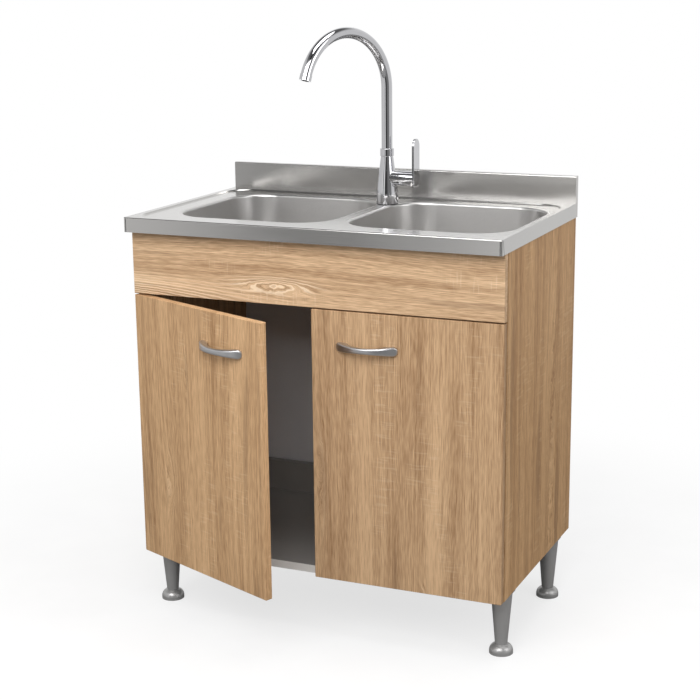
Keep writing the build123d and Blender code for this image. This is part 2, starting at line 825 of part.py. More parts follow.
# One bow handle in its own frame: its length along X, the door's face at Y = 0 and outwards -Y
half = handle_length / 2
foot_in = half - handle_foot_length
bow_end = handle_end_height / 2
bow_waist = handle_middle_height / 2
with BuildPart() as bow_handle:
    with BuildSketch(Plane.XY):
        with BuildLine():
            Polyline((-half, -handle_tip), (-half, 0), (-foot_in, 0))
            ThreePointArc((-foot_in, 0), (0, handle_grip - handle_projection), (foot_in, 0))
            Polyline((foot_in, 0), (half, 0), (half, -handle_tip))
            ThreePointArc((half, -handle_tip), (0, -handle_projection), (-half, -handle_tip))
        make_face()
    extrude(amount=bow_end, both=True)
    with BuildSketch(Plane.XZ):
        with BuildLine():
            ThreePointArc((-half, bow_end), (0, bow_waist), (half, bow_end))
            Line((half, bow_end), (half, -bow_end))
            ThreePointArc((half, -bow_end), (0, -bow_waist), (-half, -bow_end))
            Line((-half, -bow_end), (-half, bow_end))
        make_face()
        fillet(vertices(), radius=handle_corner_radius)
    extrude(amount=2 * handle_projection, both=True, mode=Mode.INTERSECT)
    fillet(bow_handle.faces().sort_by(Axis.Y)[0].outer_wire().edges(), radius=handle_edge_radius)
    bow_edges = bow_handle.edges().filter_by(lambda edge: edge.length > 2 * foot_in).sort_by(Axis.Y)
    fillet(bow_edges[-2:], radius=handle_inner_radius)
    with GridLocations(handle_hole_spacing, 0, 2, 1):
        grip_depth = 2 * handle_screw_grip + screw_play
        Cylinder(handle_screw_radius + screw_play, grip_depth, rotation=ALONG_Y, mode=Mode.SUBTRACT)
bow = bow_handle.part

for name, side in sides.items():
    door_plane = door_planes[name]
    handle_screw_length = board + handle_screw_grip

    with BuildPart(door_plane) as door:
        slab(
            (side * pivot_from_edge, side * (pivot_from_edge - door_width)),
            (-pivot_from_front, door_back_local),
            (leg_height, door_top),
        )
        fillet(door.edges(), radius=door_edge_radius)
        with Locations(*[Location((side * cup_x, -cup_floor_depth, z), ALONG_Y) for z in hinge_heights]):
            Cylinder(cup_radius + screw_play, 2 * cup_depth, align=FROM_START, mode=Mode.SUBTRACT)
        screw_holes(cup_screw_seats(side), small_screw_radius, small_screw_length + screw_play)
        screw_holes(handle_screw_seats(side), handle_screw_radius, 2 * board)
    write(door, f"{name}_door")

    with BuildPart(door_plane) as hinge_cups:
        for z in hinge_heights:
            with Locations(Location((side * cup_x, -cup_floor_depth, z), ALONG_Y)):
                Cylinder(cup_radius, cup_depth, align=FROM_START)
            with Locations(Location((side * cup_x, door_back_local, z), ALONG_Y)):
                Cylinder(cup_flange_radius, cup_flange, align=FROM_START)
            ear_half = cup_screw_spacing / 2 + cup_ear_overhang
            slab(
                (side * (ear_x - cup_ear_width / 2), side * (ear_x + cup_ear_width / 2)),
                (door_back_local, flange_top),
                (z - ear_half, z + ear_half),
            )
            slab(
                (-side * slot_inner, side * slot_outer),
                (cup_floor - cup_floor_depth, 2 * flange_top),
                (z - slot_height / 2, z + slot_height / 2),
                Mode.SUBTRACT,
            )
            with Locations((0, 0, z)):
                Cylinder(pivot_radius, pivot_length, mode=Mode.SUBTRACT)
        screw_holes(cup_screw_seats(side), small_screw_radius, 2 * cup_flange)
    write(hinge_cups, f"{name}_hinge_cups")

    with BuildPart(door_plane) as hinge_pins:
        with Locations(*[(0, 0, z) for z in hinge_heights]):
            Cylinder(pivot_radius, pivot_length)
    write(hinge_pins, f"{name}_hinge_pins")

    with BuildPart(door_plane) as cup_screws:
        screw_set(cup_screw_seats(side), small_screw_radius, small_screw_length, small_screw_head_radius,
                  small_screw_head)
    write(cup_screws, f"{name}_cup_screws")

    with BuildPart(hinge_planes[name]) as hinge_arms:
        for z in hinge_heights:
            narrow = (z - arm_height / 2, z + arm_height / 2)
            wide = (z - arm_body_height / 2, z + arm_body_height / 2)
            leaf_x = (-side * arm_reach, -side * (arm_reach - arm_leaf))
            with Locations((0, 0, z)):
                Cylinder(arm_eye_radius, arm_height)
            slab((-side * arm_reach, 0), (-arm_tongue / 2, arm_tongue / 2), narrow)
            slab(leaf_x, (-arm_tongue / 2, arm_body_end), narrow)
            slab(
                (-side * arm_reach, side * (side_in_local - hinge_plate)),
                (arm_body_start, arm_body_end),
                wide,
            )
            with Locations((0, 0, z)):
                Cylinder(pivot_radius + pivot_play, 2 * arm_height, mode=Mode.SUBTRACT)
    write(hinge_arms, f"{name}_hinge_arms")

    handle_middle = door_plane.from_local_coords((side * handle_x, handle_face, handle_z))
    with BuildPart() as handle:
        with Locations(Plane(origin=handle_middle, x_dir=door_plane.x_dir, z_dir=door_plane.z_dir)):
            add(bow)
    write(handle, f"{name}_handle")

    with BuildPart(door_plane) as handle_screws:
        seats = handle_screw_seats(side)
        head = (handle_screw_head_radius, handle_screw_head)
        screw_set(seats, handle_screw_radius, handle_screw_length, *head)
    write(handle_screws, f"{name}_handle_screws")

with BuildPart() as hinge_plates:
    for name, side in sides.items():
        for z in hinge_heights:
            slab(
                (side * (side_in - hinge_plate), side * side_in),
                (pivot_y + hinge_plate_start, pivot_y + arm_body_end),
                (z - hinge_plate_height / 2, z + hinge_plate_height / 2),
            )
        screw_holes(hinge_screw_planes[name], screw_radius, 2 * hinge_plate)
write(hinge_plates, "hinge_plates")

with BuildPart() as panel_screws:
    seats = hinge_screw_planes["left"] + hinge_screw_planes["right"]
    seats = seats + front_clip_planes + rear_clip_planes + leg_screw_planes
    screw_set(seats, screw_radius, screw_length, screw_head_radius, screw_head)
write(panel_screws, "panel_screws")

# Tap: body and fixings
tap_axis = upright(tap_x, tap_y)
shank_bottom = deck_top - tap_shank_length
spigot_bottom = body_top - spigot_length
base_top = tap_seat + tap_base
shoulder_z = deck_top + tap_shoulder_height
cartridge_end = boss_length - cartridge_nut_length - cartridge_nut_inset
hub_start = boss_length + hub_gap
hub_end = hub_start + hub_length
spindle_end = hub_start + spindle_in_hub
lever_pin_x = hub_end - lever_pin_from_end


def along_boss(start):
    """A place on the boss's axis, at a distance from the tap's own axis, facing outwards."""
    return Location((tap_x + start, tap_y, boss_z), ALONG_X)


with BuildPart() as tap_base_gasket:
    ring(
        [
            (tap_hole_radius, deck_top), (tap_base_radius, deck_top), (tap_base_radius, tap_seat),
            (tap_hole_radius, tap_seat),
        ],
        tap_axis,
    )
write(tap_base_gasket, "tap_base_gasket")

with BuildPart() as tap_body:
    with BuildSketch(tap_axis):
        with BuildLine():
            bore = spigot_radius + spout_play
            Polyline(
                (tap_shoulder_radius, shoulder_z), (tap_top_radius, body_top), (bore, body_top),
                (bore, spigot_bottom - spout_gap), (0, spigot_bottom - spout_gap), (0, shank_bottom),
                (tap_shank_radius, shank_bottom), (tap_shank_radius, tap_seat), (tap_base_radius, tap_seat),
                (tap_base_radius, base_top),
            )
            belly = (tap_belly_radius, deck_top + tap_belly_height)
            Spline((tap_base_radius, base_top), belly, (tap_shoulder_radius, shoulder_z))
        make_face()
    revolve(axis=Axis(tap_axis.origin, (0, 0, 1)))
    with Locations(along_boss(0)):
        Cylinder(boss_radius, boss_length, align=FROM_START)
    with Locations(along_boss(cartridge_start - cartridge_play)):
        Cylinder(cartridge_radius + cartridge_play, boss_length, align=FROM_START, mode=Mode.SUBTRACT)
    with Locations((tap_x, tap_y, shank_bottom)):
        with GridLocations(tail_spacing, 0, 2, 1):
            Cylinder(tail_thread_radius + screw_play, 2 * tail_grip + screw_play, mode=Mode.SUBTRACT)
write(tap_body, "tap_body")

with BuildPart() as tap_backing_washer:
    with BuildSketch(Plane.XY.offset(deck_under)):
        with Locations((tap_x, tap_y)):
            Circle(washer_radius)
            Circle(tap_shank_radius + washer_play, mode=Mode.SUBTRACT)
    extrude(amount=-washer_sheet)
write(tap_backing_washer, "tap_backing_washer")

with BuildPart() as tap_fixing_nut:
    with BuildSketch(Plane.XY.offset(deck_under - washer_sheet)):
        with Locations((tap_x, tap_y)):
            RegularPolygon(nut_flats / 2, 6, major_radius=False, rotation=30)
            Circle(tap_shank_radius + screw_play, mode=Mode.SUBTRACT)
    extrude(amount=-nut_height)
write(tap_fixing_nut, "tap_fixing_nut")

with BuildPart() as tap_inlet_tails:
    with Locations((tap_x, tap_y, shank_bottom)):
        with GridLocations(tail_spacing, 0, 2, 1):
            Cylinder(tail_thread_radius, tail_grip, align=FROM_START)
            Cylinder(tail_radius, tail_length, align=TO_END)
write(tap_inlet_tails, "tap_inlet_tails")

# Tap: cartridge, hub and lever on the boss
with BuildPart() as tap_cartridge:
    with Locations(along_boss(cartridge_start)):
        Cylinder(cartridge_radius, cartridge_end - cartridge_start, align=FROM_START)
    with Locations(along_boss(spindle_start - lever_gap)):
        Cylinder(spindle_radius + spout_play, boss_length, align=FROM_START, mode=Mode.SUBTRACT)
write(tap_cartridge, "tap_cartridge")

with BuildPart() as cartridge_nut:
    with Locations(along_boss(cartridge_end)):
        Cylinder(cartridge_radius, cartridge_nut_length, align=FROM_START)
        Cylinder(cartridge_nut_bore, cartridge_nut_length, align=FROM_START, mode=Mode.SUBTRACT)
write(cartridge_nut, "cartridge_nut")

with BuildPart() as cartridge_spindle:
    with Locations(along_boss(spindle_start)):
        Cylinder(spindle_radius, spindle_end - spindle_start, align=FROM_START)
write(cartridge_spindle, "cartridge_spindle")

lever_inner = hub_end + lever_gap
lever_offset = lever_inner - lever_pin_x
pin_place = (tap_x + lever_pin_x, tap_y, boss_z)
tongue_turn = (tongue_back ** 2 + (tongue_height / 2) ** 2) ** 0.5 + tongue_play
tilt = radians(lever_tilt)
tongue_dip = lever_offset * sin(tilt) + tongue_height / 2 * cos(tilt) + tongue_play
with BuildPart() as tap_hub:
    with Locations(along_boss(hub_start)):
        Cylinder(boss_radius, hub_end - hub_start, align=FROM_START)
        Cylinder(spindle_radius, spindle_end - hub_start, align=FROM_START, mode=Mode.SUBTRACT)
    slab(
        (pin_place[0] - tongue_turn, tap_x + 2 * hub_end),
        (tap_y - tongue_width / 2 - tongue_play, tap_y + tongue_width / 2 + tongue_play),
        (boss_z - tongue_dip, boss_z + tongue_turn),
        Mode.SUBTRACT,
    )
    with Locations(Location(pin_place, (0, lever_tilt, 0))):
        with Locations((lever_offset - lever_gap, 0, 0)):
            Box(2 * boss_radius, 2 * boss_radius, 4 * boss_radius,
                align=(Align.MIN, Align.CENTER, Align.CENTER), mode=Mode.SUBTRACT)
    with Locations(Location(pin_place, ALONG_Y)):
        Cylinder(lever_pin_radius, lever_pin_length, mode=Mode.SUBTRACT)
write(tap_hub, "tap_hub")

with BuildPart() as lever_pin:
    with Locations(Location(pin_place, ALONG_Y)):
        Cylinder(lever_pin_radius, lever_pin_length)
write(lever_pin, "lever_pin")

lever_plane = Plane(origin=(tap_x + lever_inner, tap_y, boss_z), x_dir=(0, 1, 0), z_dir=(1, 0, 0))
with BuildPart() as tap_lever:
    with BuildSketch(lever_plane):
        top_centre = lever_height - lever_width / 2
        with Locations((0, (top_centre - lever_drop) / 2)):
            Rectangle(lever_width, top_centre + lever_drop)
        fillet(vertices().group_by(Axis.Y)[0], radius=lever_corner)
        with Locations((0, top_centre)):
            Circle(lever_width / 2)
    extrude(amount=lever_sheet)
    fillet(tap_lever.faces().sort_by(Axis.X)[-1].edges(), radius=lever_sheet / 4)
    slab(
        (pin_place[0] - tongue_back, tap_x + lever_inner),
        (tap_y - tongue_width / 2, tap_y + tongue_width / 2),
        (boss_z - tongue_height / 2, boss_z + tongue_height / 2),
    )
    with Locations(Location(pin_place, ALONG_Y)):
        Cylinder(lever_pin_radius + spout_play, lever_pin_length, mode=Mode.SUBTRACT)
write(tap_lever, "tap_lever")

# Tap: collar, spout and aerator
with BuildPart() as spout_collar:
    with Locations((tap_x, tap_y, body_top)):
        Cylinder(collar_radius, collar_height, align=FROM_START)
        Cylinder(spout_radius + spout_play, collar_height, align=FROM_START, mode=Mode.SUBTRACT)
    rim_circles = spout_collar.edges().filter_by(GeomType.CIRCLE)
    outer_rims = [edge for edge in rim_circles if edge.radius > spout_radius + spout_wall / 2]
    fillet(outer_rims, radius=spout_wall / 2)
write(spout_collar, "spout_collar")

swing = radians(spout_swing)
spout_forward = Vector(-sin(swing), -cos(swing), 0)
spout_across = spout_forward.cross(Vector(0, 0, 1))
spout_plane = Plane(origin=(tap_x, tap_y, 0), x_dir=spout_forward, z_dir=spout_across)
spout_start = body_top + spout_gap
plug_top = spout_start + spout_radius / 2
with BuildPart() as spout_tube:
    with BuildLine(spout_plane) as spout_path:
        Line((0, spout_start), (0, spout_bend_z))
        CenterArc((spout_bend_radius, spout_bend_z), spout_bend_radius, 180, -spout_bend_angle)
    with BuildSketch(Plane(origin=(tap_x, tap_y, spout_start))):
        Circle(spout_radius)
        Circle(spout_radius - spout_wall, mode=Mode.SUBTRACT)
    sweep(path=spout_path.wires()[0])
    ring(
        [
            (spigot_radius - spout_wall, spigot_bottom), (spigot_radius, spigot_bottom),
            (spigot_radius, spout_start), (spout_radius, spout_start), (spout_radius, plug_top),
            (spigot_radius - spout_wall, plug_top),
        ],
        tap_axis,
    )
write(spout_tube, "spout_tube")

spout_end = spout_path.wires()[0]
aerator_plane = Plane(origin=spout_end @ 1, z_dir=spout_end % 1)
with BuildPart() as aerator:
    with BuildSketch(aerator_plane):
        Circle(aerator_radius)
    extrude(amount=aerator_length)
    with BuildSketch(aerator_plane.offset(aerator_screen)):
        Circle(aerator_bore)
    extrude(amount=aerator_length, mode=Mode.SUBTRACT)
    with BuildSketch(aerator_plane):
        Circle(aerator_hole_radius)
        for row_radius, row_count in zip(aerator_ring_radii, aerator_ring_counts):
            with PolarLocations(row_radius, row_count):
                Circle(aerator_hole_radius)
    extrude(amount=aerator_screen, mode=Mode.SUBTRACT)
write(aerator, "aerator")
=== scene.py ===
"""Looks of a free-standing kitchen sink base cabinet.

Laid out as an add-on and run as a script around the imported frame. Lengths are in metres in the frame's own
axes: +X to the right along the front, +Y to the wall, +Z up, with the floor at zero.
"""

from math import cos, pi, radians, sin

import bmesh
import bpy
from bpy.props import FloatProperty, FloatVectorProperty, PointerProperty
from mathutils import Matrix, Vector


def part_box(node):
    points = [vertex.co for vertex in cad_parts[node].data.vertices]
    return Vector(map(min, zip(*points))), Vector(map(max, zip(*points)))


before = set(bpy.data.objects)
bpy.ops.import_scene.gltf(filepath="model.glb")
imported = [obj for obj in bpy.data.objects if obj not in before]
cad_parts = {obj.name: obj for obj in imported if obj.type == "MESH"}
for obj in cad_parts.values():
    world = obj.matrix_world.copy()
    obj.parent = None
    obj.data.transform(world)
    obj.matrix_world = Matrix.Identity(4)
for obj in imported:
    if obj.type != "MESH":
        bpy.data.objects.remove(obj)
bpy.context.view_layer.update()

bl_info = {
    "name": "Sink base cabinet looks",
    "version": (1, 0, 0),
    "blender": (4, 5, 0),
    "location": "View3D > Sidebar > Sink Base",
    "description": "Finishes, stage and camera for a kitchen sink base cabinet",
    "category": "Object",
}

WHITE = (1.0, 1.0, 1.0, 1.0)

# Most of a noise texture's values lie between these two
NOISE_LOW, NOISE_HIGH = 0.3, 0.7

# Turns that lay a board's width along X and its grain along Z; the left door stands ajar
DOOR_REST_ANGLE = 23.0
UPRIGHT = (0.0, 0.0, 0.0)
SIDEWAYS = (0.0, 0.0, radians(90.0))
LYING = (0.0, radians(90.0), 0.0)
SWUNG = (0.0, 0.0, radians(DOOR_REST_ANGLE))

# Oak boards: the shift gives each its own grain, and a figure has its place across and along the board, its
# width and its length
# Each board's shade multiplies its colour and is painted light and shade: the one decor is lightened, darkened
# and tinted board by board to the brightness each shows under the light, the fascia lighter and the right side
# darker and warmer; on the fascia it is partly also a paler part of the decor
OAK_BOARDS = {
    "left_door": {
        "turn": SWUNG, "shift": (0.273, 0.40, 0.0), "veins": 0.12, "shade": (1.03, 1.03, 1.02, 1.0),
        "figures": ((0.094, 0.299, 0.014, 0.06), (0.157, 0.546, 0.005, 0.055)),
    },
    "right_door": {
        "turn": UPRIGHT, "shift": (0.0, 1.30, 0.0), "veins": 0.12, "shade": (0.96, 0.99, 1.04, 1.0),
        "figures": ((0.24, 0.10, 0.012, 0.04), (0.022, 0.34, 0.009, 0.09)),
    },
    "fascia_panel": {
        "turn": LYING, "shift": (0.0, 2.35, 0.0), "veins": 0.5, "shade": (1.19, 1.29, 1.45, 1.0),
        "figures": ((0.657, 0.43, 0.05, 0.22), (0.729, 0.075, 0.012, 0.065)),
    },
    "left_side_panel": {
        "turn": SIDEWAYS, "shift": (0.0, 3.00, 0.0), "veins": 0.1, "shade": WHITE,
        "figures": ((0.10, 0.30, 0.03, 0.5), (-0.15, 0.70, 0.006, 0.08)),
    },
    "right_side_panel": {
        "turn": SIDEWAYS, "shift": (0.0, 4.20, 0.0), "veins": 0.1, "shade": (1.0, 0.96, 0.88, 1.0),
        "figures": ((-0.08, 0.25, 0.03, 0.5), (0.12, 0.35, 0.006, 0.08)),
    },
}

# How the grain runs: scales per metre across the board, through it and along it, detail, and reach
SWAY = ((4.0, 4.0, 0.9), 1.0, 0.016)
RIPPLE = ((75.0, 75.0, 55.0), 2.0, 0.003)
RING_TURN = ((9.0, 9.0, 0.7), 2.0, 4.0)
RINGS_PER_METRE = 85.0
ACROSS_AND_ALONG = (1.0, 0.0, 1.0)
FOLD_LEAST, FOLD_GAIN = 0.6, 4.0
FIGURE_FALL = 0.7

# Layers of the grain's tone: scales, detail, roughness, and how far each moves the tone from its middle
GRAIN_LAYERS = {
    "broad": ((13.0, 13.0, 0.6), 2.0, 0.5, 0.19),
    "middle": ((60.0, 60.0, 1.2), 2.0, 0.6, 0.22),
    "fibre": ((480.0, 480.0, 7.0), 1.5, 0.6, 0.19),
    "hair": ((950.0, 950.0, 36.0), 1.5, 0.6, 0.34),
}
TONE_MIDDLE = 0.40
RING_LEAST, RING_GAIN = 0.03, 0.60

# Marks that follow the bent grain and marks that lie across the board: scales, detail, and the levels of the
# noise between which they come up
BENT_MARKS = {
    "pore": ((760.0, 760.0, 26.0), 1.0, 0.58, 0.72),
    "stain": ((34.0, 34.0, 2.6), 2.0, 0.60, 0.72),
}
CROSS_MARKS = {
    "cluster": ((16.0, 16.0, 4.0), 1.0, 0.54, 0.66),
    "saw": ((24.0, 24.0, 230.0), 1.0, 0.55, 0.66),
}
STAIN_SHARE, SAW_SHARE, PORE_SHARE = 0.36, 0.15, 0.26
VEIN_FIGURE, VEIN_RING = (0.05, 0.45), (0.35, 0.95)
CORE_MOST, CORE_LOSS, CORE_REACH = 0.36, 0.72, (0.25, 0.85)
FIBRE_ROUGH, PORE_ROUGH, FIBRE_HEIGHT = 0.06, 0.12, 0.35
OAK_SPECULAR = 0.16

# Brushed sheet: how far its lines and slow clouds move the shade and the roughness
BRUSH_DETAIL = 3.0
LINE_SHADE, CLOUD_SHADE = (0.97, 1.03), 0.03
LINE_ROUGH, CLOUD_ROUGH = 0.012, 0.02

# Cast, moulded and plated surfaces: scales per metre, and how far speckle and clouds go
SPECKLE_SCALE, SPECKLE_DETAIL, SPECKLE_SWING = 900.0, 2.0, 1.0
CLOUD_SCALE, CLOUD_DETAIL, CLOUD_SWING = 14.0, 3.0, 0.8
GRAIN_ROUGH = 0.04

# Inner boards: their relief and contrast, and where the pale band of painted light on a front edge ends
BOARD_RELIEF, BOARD_CONTRAST = 0.00003, 0.03
LIT_BAND_EDGE = (0.0004, 0.0008)

# Painted shade along the folded seams at the front corners of the sink top, a dark line where the folds'
# creases are shaded
SINK_RIM = 0.850
SEAM_INSET = 0.0044
SEAM_SLANT = 0.22
SEAM_EDGE = (0.0004, 0.0011)
SEAM_FLUSH = 0.0006
SEAM_BELOW_RIM = 0.002

# Floor: grey levels of its paper, its scales per metre, what the camera sees added, and where it fades out
FLOOR_TONES, FLOOR_SCALES, FLOOR_DETAIL = (0.25, 0.27), (6.0, 6.0, 6.0), 3.0
FLOOR_ROUGHNESS, FLOOR_SPECULAR = 0.9, 0.1
FLOOR_LIFT = 0.71
FLOOR_FADE = (0.75, 1.5)
FLOOR_SEGMENTS = 96

# Grey levels of the room's walls that polished metal mirrors, by bearing in degrees from the front, positive
# to the right
WALL_BEARINGS = (
    (-180.0, 1.00), (-150.0, 1.00), (-125.0, 0.62), (-40.0, 0.66), (-31.0, 0.98), (-27.5, 0.11),
    (-21.2, 0.11), (-18.8, 1.00), (-9.0, 1.00), (-6.0, 0.07), (22.0, 0.05), (28.0, 0.20), (66.0, 0.20),
    (74.0, 0.68), (118.0, 0.68), (180.0, 0.80),
)
ROOM_WALLS = tuple((bearing / 360.0 + 0.5, level) for bearing, level in WALL_BEARINGS)

# The room's ceiling dims between these two rises of the direction
CEILING_RISE, CEILING_DIM = (0.55, 0.82), 0.84

# Lights: place, aim, width and height, and the setting that holds the power
CABINET_MIDDLE = (0.0, -0.1, 0.6)
LIGHTS = {
    "key_light": ((0.1, -2.2, 2.2), CABINET_MIDDLE, (2.2, 1.5), "key_power"),
    "side_light": ((2.5, -0.5, 1.75), (0.4, 0.0, 0.60), (1.4, 1.4), "side_power"),
    "top_light": ((0.3, -0.3, 3.2), CABINET_MIDDLE, (1.8, 1.2), "top_power"),
}
SENSOR_WIDTH = 36.0


def colour(name, description, default):
    """A colour property."""
    return FloatVectorProperty(
        name=name, description=description, default=default, subtype="COLOR", size=3, min=0.0, max=1.0
    )


def length(name, description, default):
    """A length property in metres."""
    return FloatProperty(name=name, description=description, default=default, unit="LENGTH", precision=4)


def share(name, description, default):
    """A property between zero and one."""
    return FloatProperty(
        name=name, description=description, default=default, min=0.0, max=1.0, subtype="FACTOR"
    )


def number(name, description, default):
    """A plain number property."""
    return FloatProperty(name=name, description=description, default=default)


def angle(name, description, default):
    """An angle property, with its default in degrees."""
    return FloatProperty(name=name, description=description, default=radians(default), subtype="ANGLE")


class SinkBaseOak(bpy.types.PropertyGroup):
    """Printed oak decor of the doors, fascia and sides."""

    light: colour("Light wood", "Early wood of the decor", (0.700, 0.452, 0.250))
    dark: colour("Dark wood", "Late wood of the decor", (0.315, 0.170, 0.079))
    streak: colour("Streaks", "Grey-brown streaks along the grain", (0.190, 0.105, 0.055))
    fleck: colour("Flecks", "Pale marks across the grain", (0.880, 0.680, 0.460))
    roughness: share("Roughness", "Mean roughness of the decor film", 0.55)
    relief: length("Pore relief", "Depth of the embossed pores", 0.00006)


class SinkBaseBoards(bpy.types.PropertyGroup):
    """Plain boards inside the carcass."""

    # The grey is partly the boards' own and partly painted shade, darkened for the shade inside the carcass
    melamine: colour("Melamine", "Grey board surfaces", (0.27, 0.26, 0.25))
    # The pale band is painted light: the bottom panel's front edge as it shows lit, paler than its top in
    # painted shade
    edging: colour("Painted lit edge", "Pale edge band on the bottom panel's front", (0.80, 0.78, 0.75))
    back: colour("Back board", "Lacquered hardboard at the back", (0.66, 0.66, 0.68))
    roughness: share("Roughness", "Mean roughness of the boards", 0.5)


class SinkBaseSteel(bpy.types.PropertyGroup):
    """Stainless steel of the sink top, bowls and wastes."""

    tone: colour("Steel", "Mean reflection of the sheet", (0.585, 0.575, 0.56))
    bowl_tone: colour("Bowl steel", "Mean reflection of the drawn bowls", (0.60, 0.59, 0.58))
    # A near-black painted on the steel as the shade in the folded seams' creases
    seam: colour("Seam shadows", "Shade of the folded corner seams", (0.05, 0.05, 0.05))
    roughness: share("Roughness", "Mean roughness of the brushed sheet", 0.21)
    bowl_roughness: share("Bowl roughness", "Mean roughness of the satin bowls", 0.32)
    relief: length("Brush relief", "Depth of the brush lines", 0.0000004)


class SinkBaseTap(bpy.types.PropertyGroup):
    """Chrome of the mixer tap."""

    tone: colour("Chrome", "Reflection of the plating", (0.72, 0.72, 0.74))
    roughness: share("Roughness", "Mean roughness of the plating", 0.05)
    cartridge: colour("Cartridge", "Dark plastic of the cartridge", (0.10, 0.10, 0.11))


class SinkBaseFittings(bpy.types.PropertyGroup):
    """Handles, legs, hinges and the small hidden pieces."""

    handle: colour("Handles", "Satin nickel of the bow handles", (0.58, 0.58, 0.59))
    leg: colour("Legs", "Silver-grey satin of the legs and feet", (0.50, 0.495, 0.49))
    nickel: colour("Hinges", "Nickel plate of the hinges", (0.58, 0.56, 0.52))
    zinc: colour("Screws", "Bright zinc plate of screws and clips", (0.55, 0.56, 0.58))
    brass: colour("Brass", "Turned brass under the tap", (0.70, 0.50, 0.22))
    plastic: colour("Waste plastic", "White moulded waste bodies", (0.78, 0.78, 0.77))
    rubber: colour("Seals", "Black rubber seals", (0.03, 0.03, 0.03))
    beech: colour("Dowels", "Plain beech dowels", (0.66, 0.46, 0.28))


class SinkBaseStage(bpy.types.PropertyGroup):
    """Camera, floor and lights."""

    azimuth: angle("Azimuth", "Camera's turn about the cabinet, from the front to the right", 23.83)
    elevation: angle("Elevation", "Camera's height above the level", 13.62)
    roll: angle("Roll", "Camera's roll", -0.62)
    distance: length("Distance", "Camera's distance from its target", 3.29195)
    lens: number("Lens", "Focal length in millimetres on a 36 mm sensor", 80.52)
    target: FloatVectorProperty(
        name="Target", description="Point that the camera looks at", default=(-0.015, 0.0, 0.5524),
        subtype="TRANSLATION", unit="LENGTH",
    )
    floor_radius: length("Floor radius", "Radius of the pale floor", 2.6)
    key_power: number("Key power", "Power of the large front light in watts", 48.0)
    top_power: number("Top power", "Power of the overhead light in watts", 30.0)
    side_power: number("Side power", "Power of the light on the right-hand side in watts", 14.0)
    ambient: share("Ambient", "Strength of the even light from all round", 0.52)


class Nodes:
    """A node tree with short calls that add and join nodes."""

    def __init__(self, tree):
        self.tree = tree

    def add(self, kind, values=None, **settings):
        """A node with its settings; values fill its inputs with numbers or join them to sockets."""
        made = self.tree.nodes.new(kind)
        for key, value in settings.items():
            setattr(made, key, value)
        for key, value in (values or {}).items():
            self.feed(made.inputs[key], value)
        return made

    def feed(self, socket, value):
        """Join a socket to an output, or set its value."""
        if isinstance(value, bpy.types.NodeSocket):
            self.tree.links.new(value, socket)
        else:
            socket.default_value = value

    def math(self, operation, first, second=0.0, clamp=False):
        """Arithmetic on two values."""
        made = self.add("ShaderNodeMath", {0: first, 1: second}, operation=operation, use_clamp=clamp)
        return made.outputs[0]

    def vector(self, operation, *parts):
        """Arithmetic on vectors; the result is under Vector or Value."""
        return self.add("ShaderNodeVectorMath", dict(enumerate(parts)), operation=operation).outputs

    def axes(self, vector):
        """The parts of a vector, by axis."""
        return self.add("ShaderNodeSeparateXYZ", {"Vector": vector}).outputs

    def noise(self, vector, scales, detail, roughness=0.5):
        """Noise at its own scale along each axis."""
        stretched = self.vector("MULTIPLY", vector, scales)["Vector"]
        values = {"Vector": stretched, "Scale": 1.0, "Detail": detail, "Roughness": roughness}
        return self.add("ShaderNodeTexNoise", values).outputs["Fac"]

    def cloud(self, vector, scale, detail):
        """Noise of one scale in all directions."""
        values = {"Vector": vector, "Scale": scale, "Detail": detail}
        return self.add("ShaderNodeTexNoise", values).outputs["Fac"]

    def between(self, value, low, high):
        """A smooth step from 0 at low to 1 at high."""
        values = {"Value": value, "From Min": low, "From Max": high, "To Min": 0.0, "To Max": 1.0}
        return self.add("ShaderNodeMapRange", values, interpolation_type="SMOOTHSTEP").outputs["Result"]

    def spread(self, value, low, high):
        """Noise mapped to run from low to high."""
        values = {
            "Value": value, "From Min": NOISE_LOW, "From Max": NOISE_HIGH, "To Min": low, "To Max": high,
        }
        return self.add("ShaderNodeMapRange", values).outputs["Result"]

    def swing(self, value, reach):
        """Noise mapped to run as far below zero as above it."""
        return self.spread(value, -reach, reach)

    def grey(self, level):
        """A grey from one level."""
        return self.add("ShaderNodeCombineColor", {0: level, 1: level, 2: level}).outputs[0]

    def mix(self, factor, first, second, blend="MIX"):
        """Two colours mixed."""
        values = {0: factor, 6: first, 7: second}
        return self.add("ShaderNodeMix", values, data_type="RGBA", blend_type=blend).outputs[2]

    def ramp(self, value, stops):
        """Levels of grey that run from stop to stop as the value goes from 0 to 1."""
        made = self.add("ShaderNodeValToRGB", {"Fac": value})
        elements = made.color_ramp.elements
        while len(elements) < len(stops):
            elements.new(1.0)
        for element, (position, level) in zip(elements, stops):
            element.position = position
            element.color = (level, level, level, 1.0)
        return made.outputs["Color"]

    def bump(self, height, distance):
        """A normal from a height."""
        values = {"Height": height, "Distance": distance, "Strength": 1.0}
        return self.add("ShaderNodeBump", values).outputs["Normal"]


def four(values):
    """A colour with full opacity."""
    return (*values, 1.0)


def new_group(name, inputs):
    """An effect's empty node group, with the sockets of its input and output nodes."""
    tree = bpy.data.node_groups.new(name, "ShaderNodeTree")
    for label, kind in inputs.items():
        tree.interface.new_socket(label, in_out="INPUT", socket_type=f"NodeSocket{kind}")
    for label, kind in (("Color", "Color"), ("Roughness", "Float"), ("Height", "Float")):
        tree.interface.new_socket(label, in_out="OUTPUT", socket_type=f"NodeSocket{kind}")
    nodes = Nodes(tree)
    return nodes, nodes.add("NodeGroupInput").outputs, nodes.add("NodeGroupOutput").inputs


def shared(name, build):
    """A node group made once, on its first use."""
    return bpy.data.node_groups.get(name) or build(name)


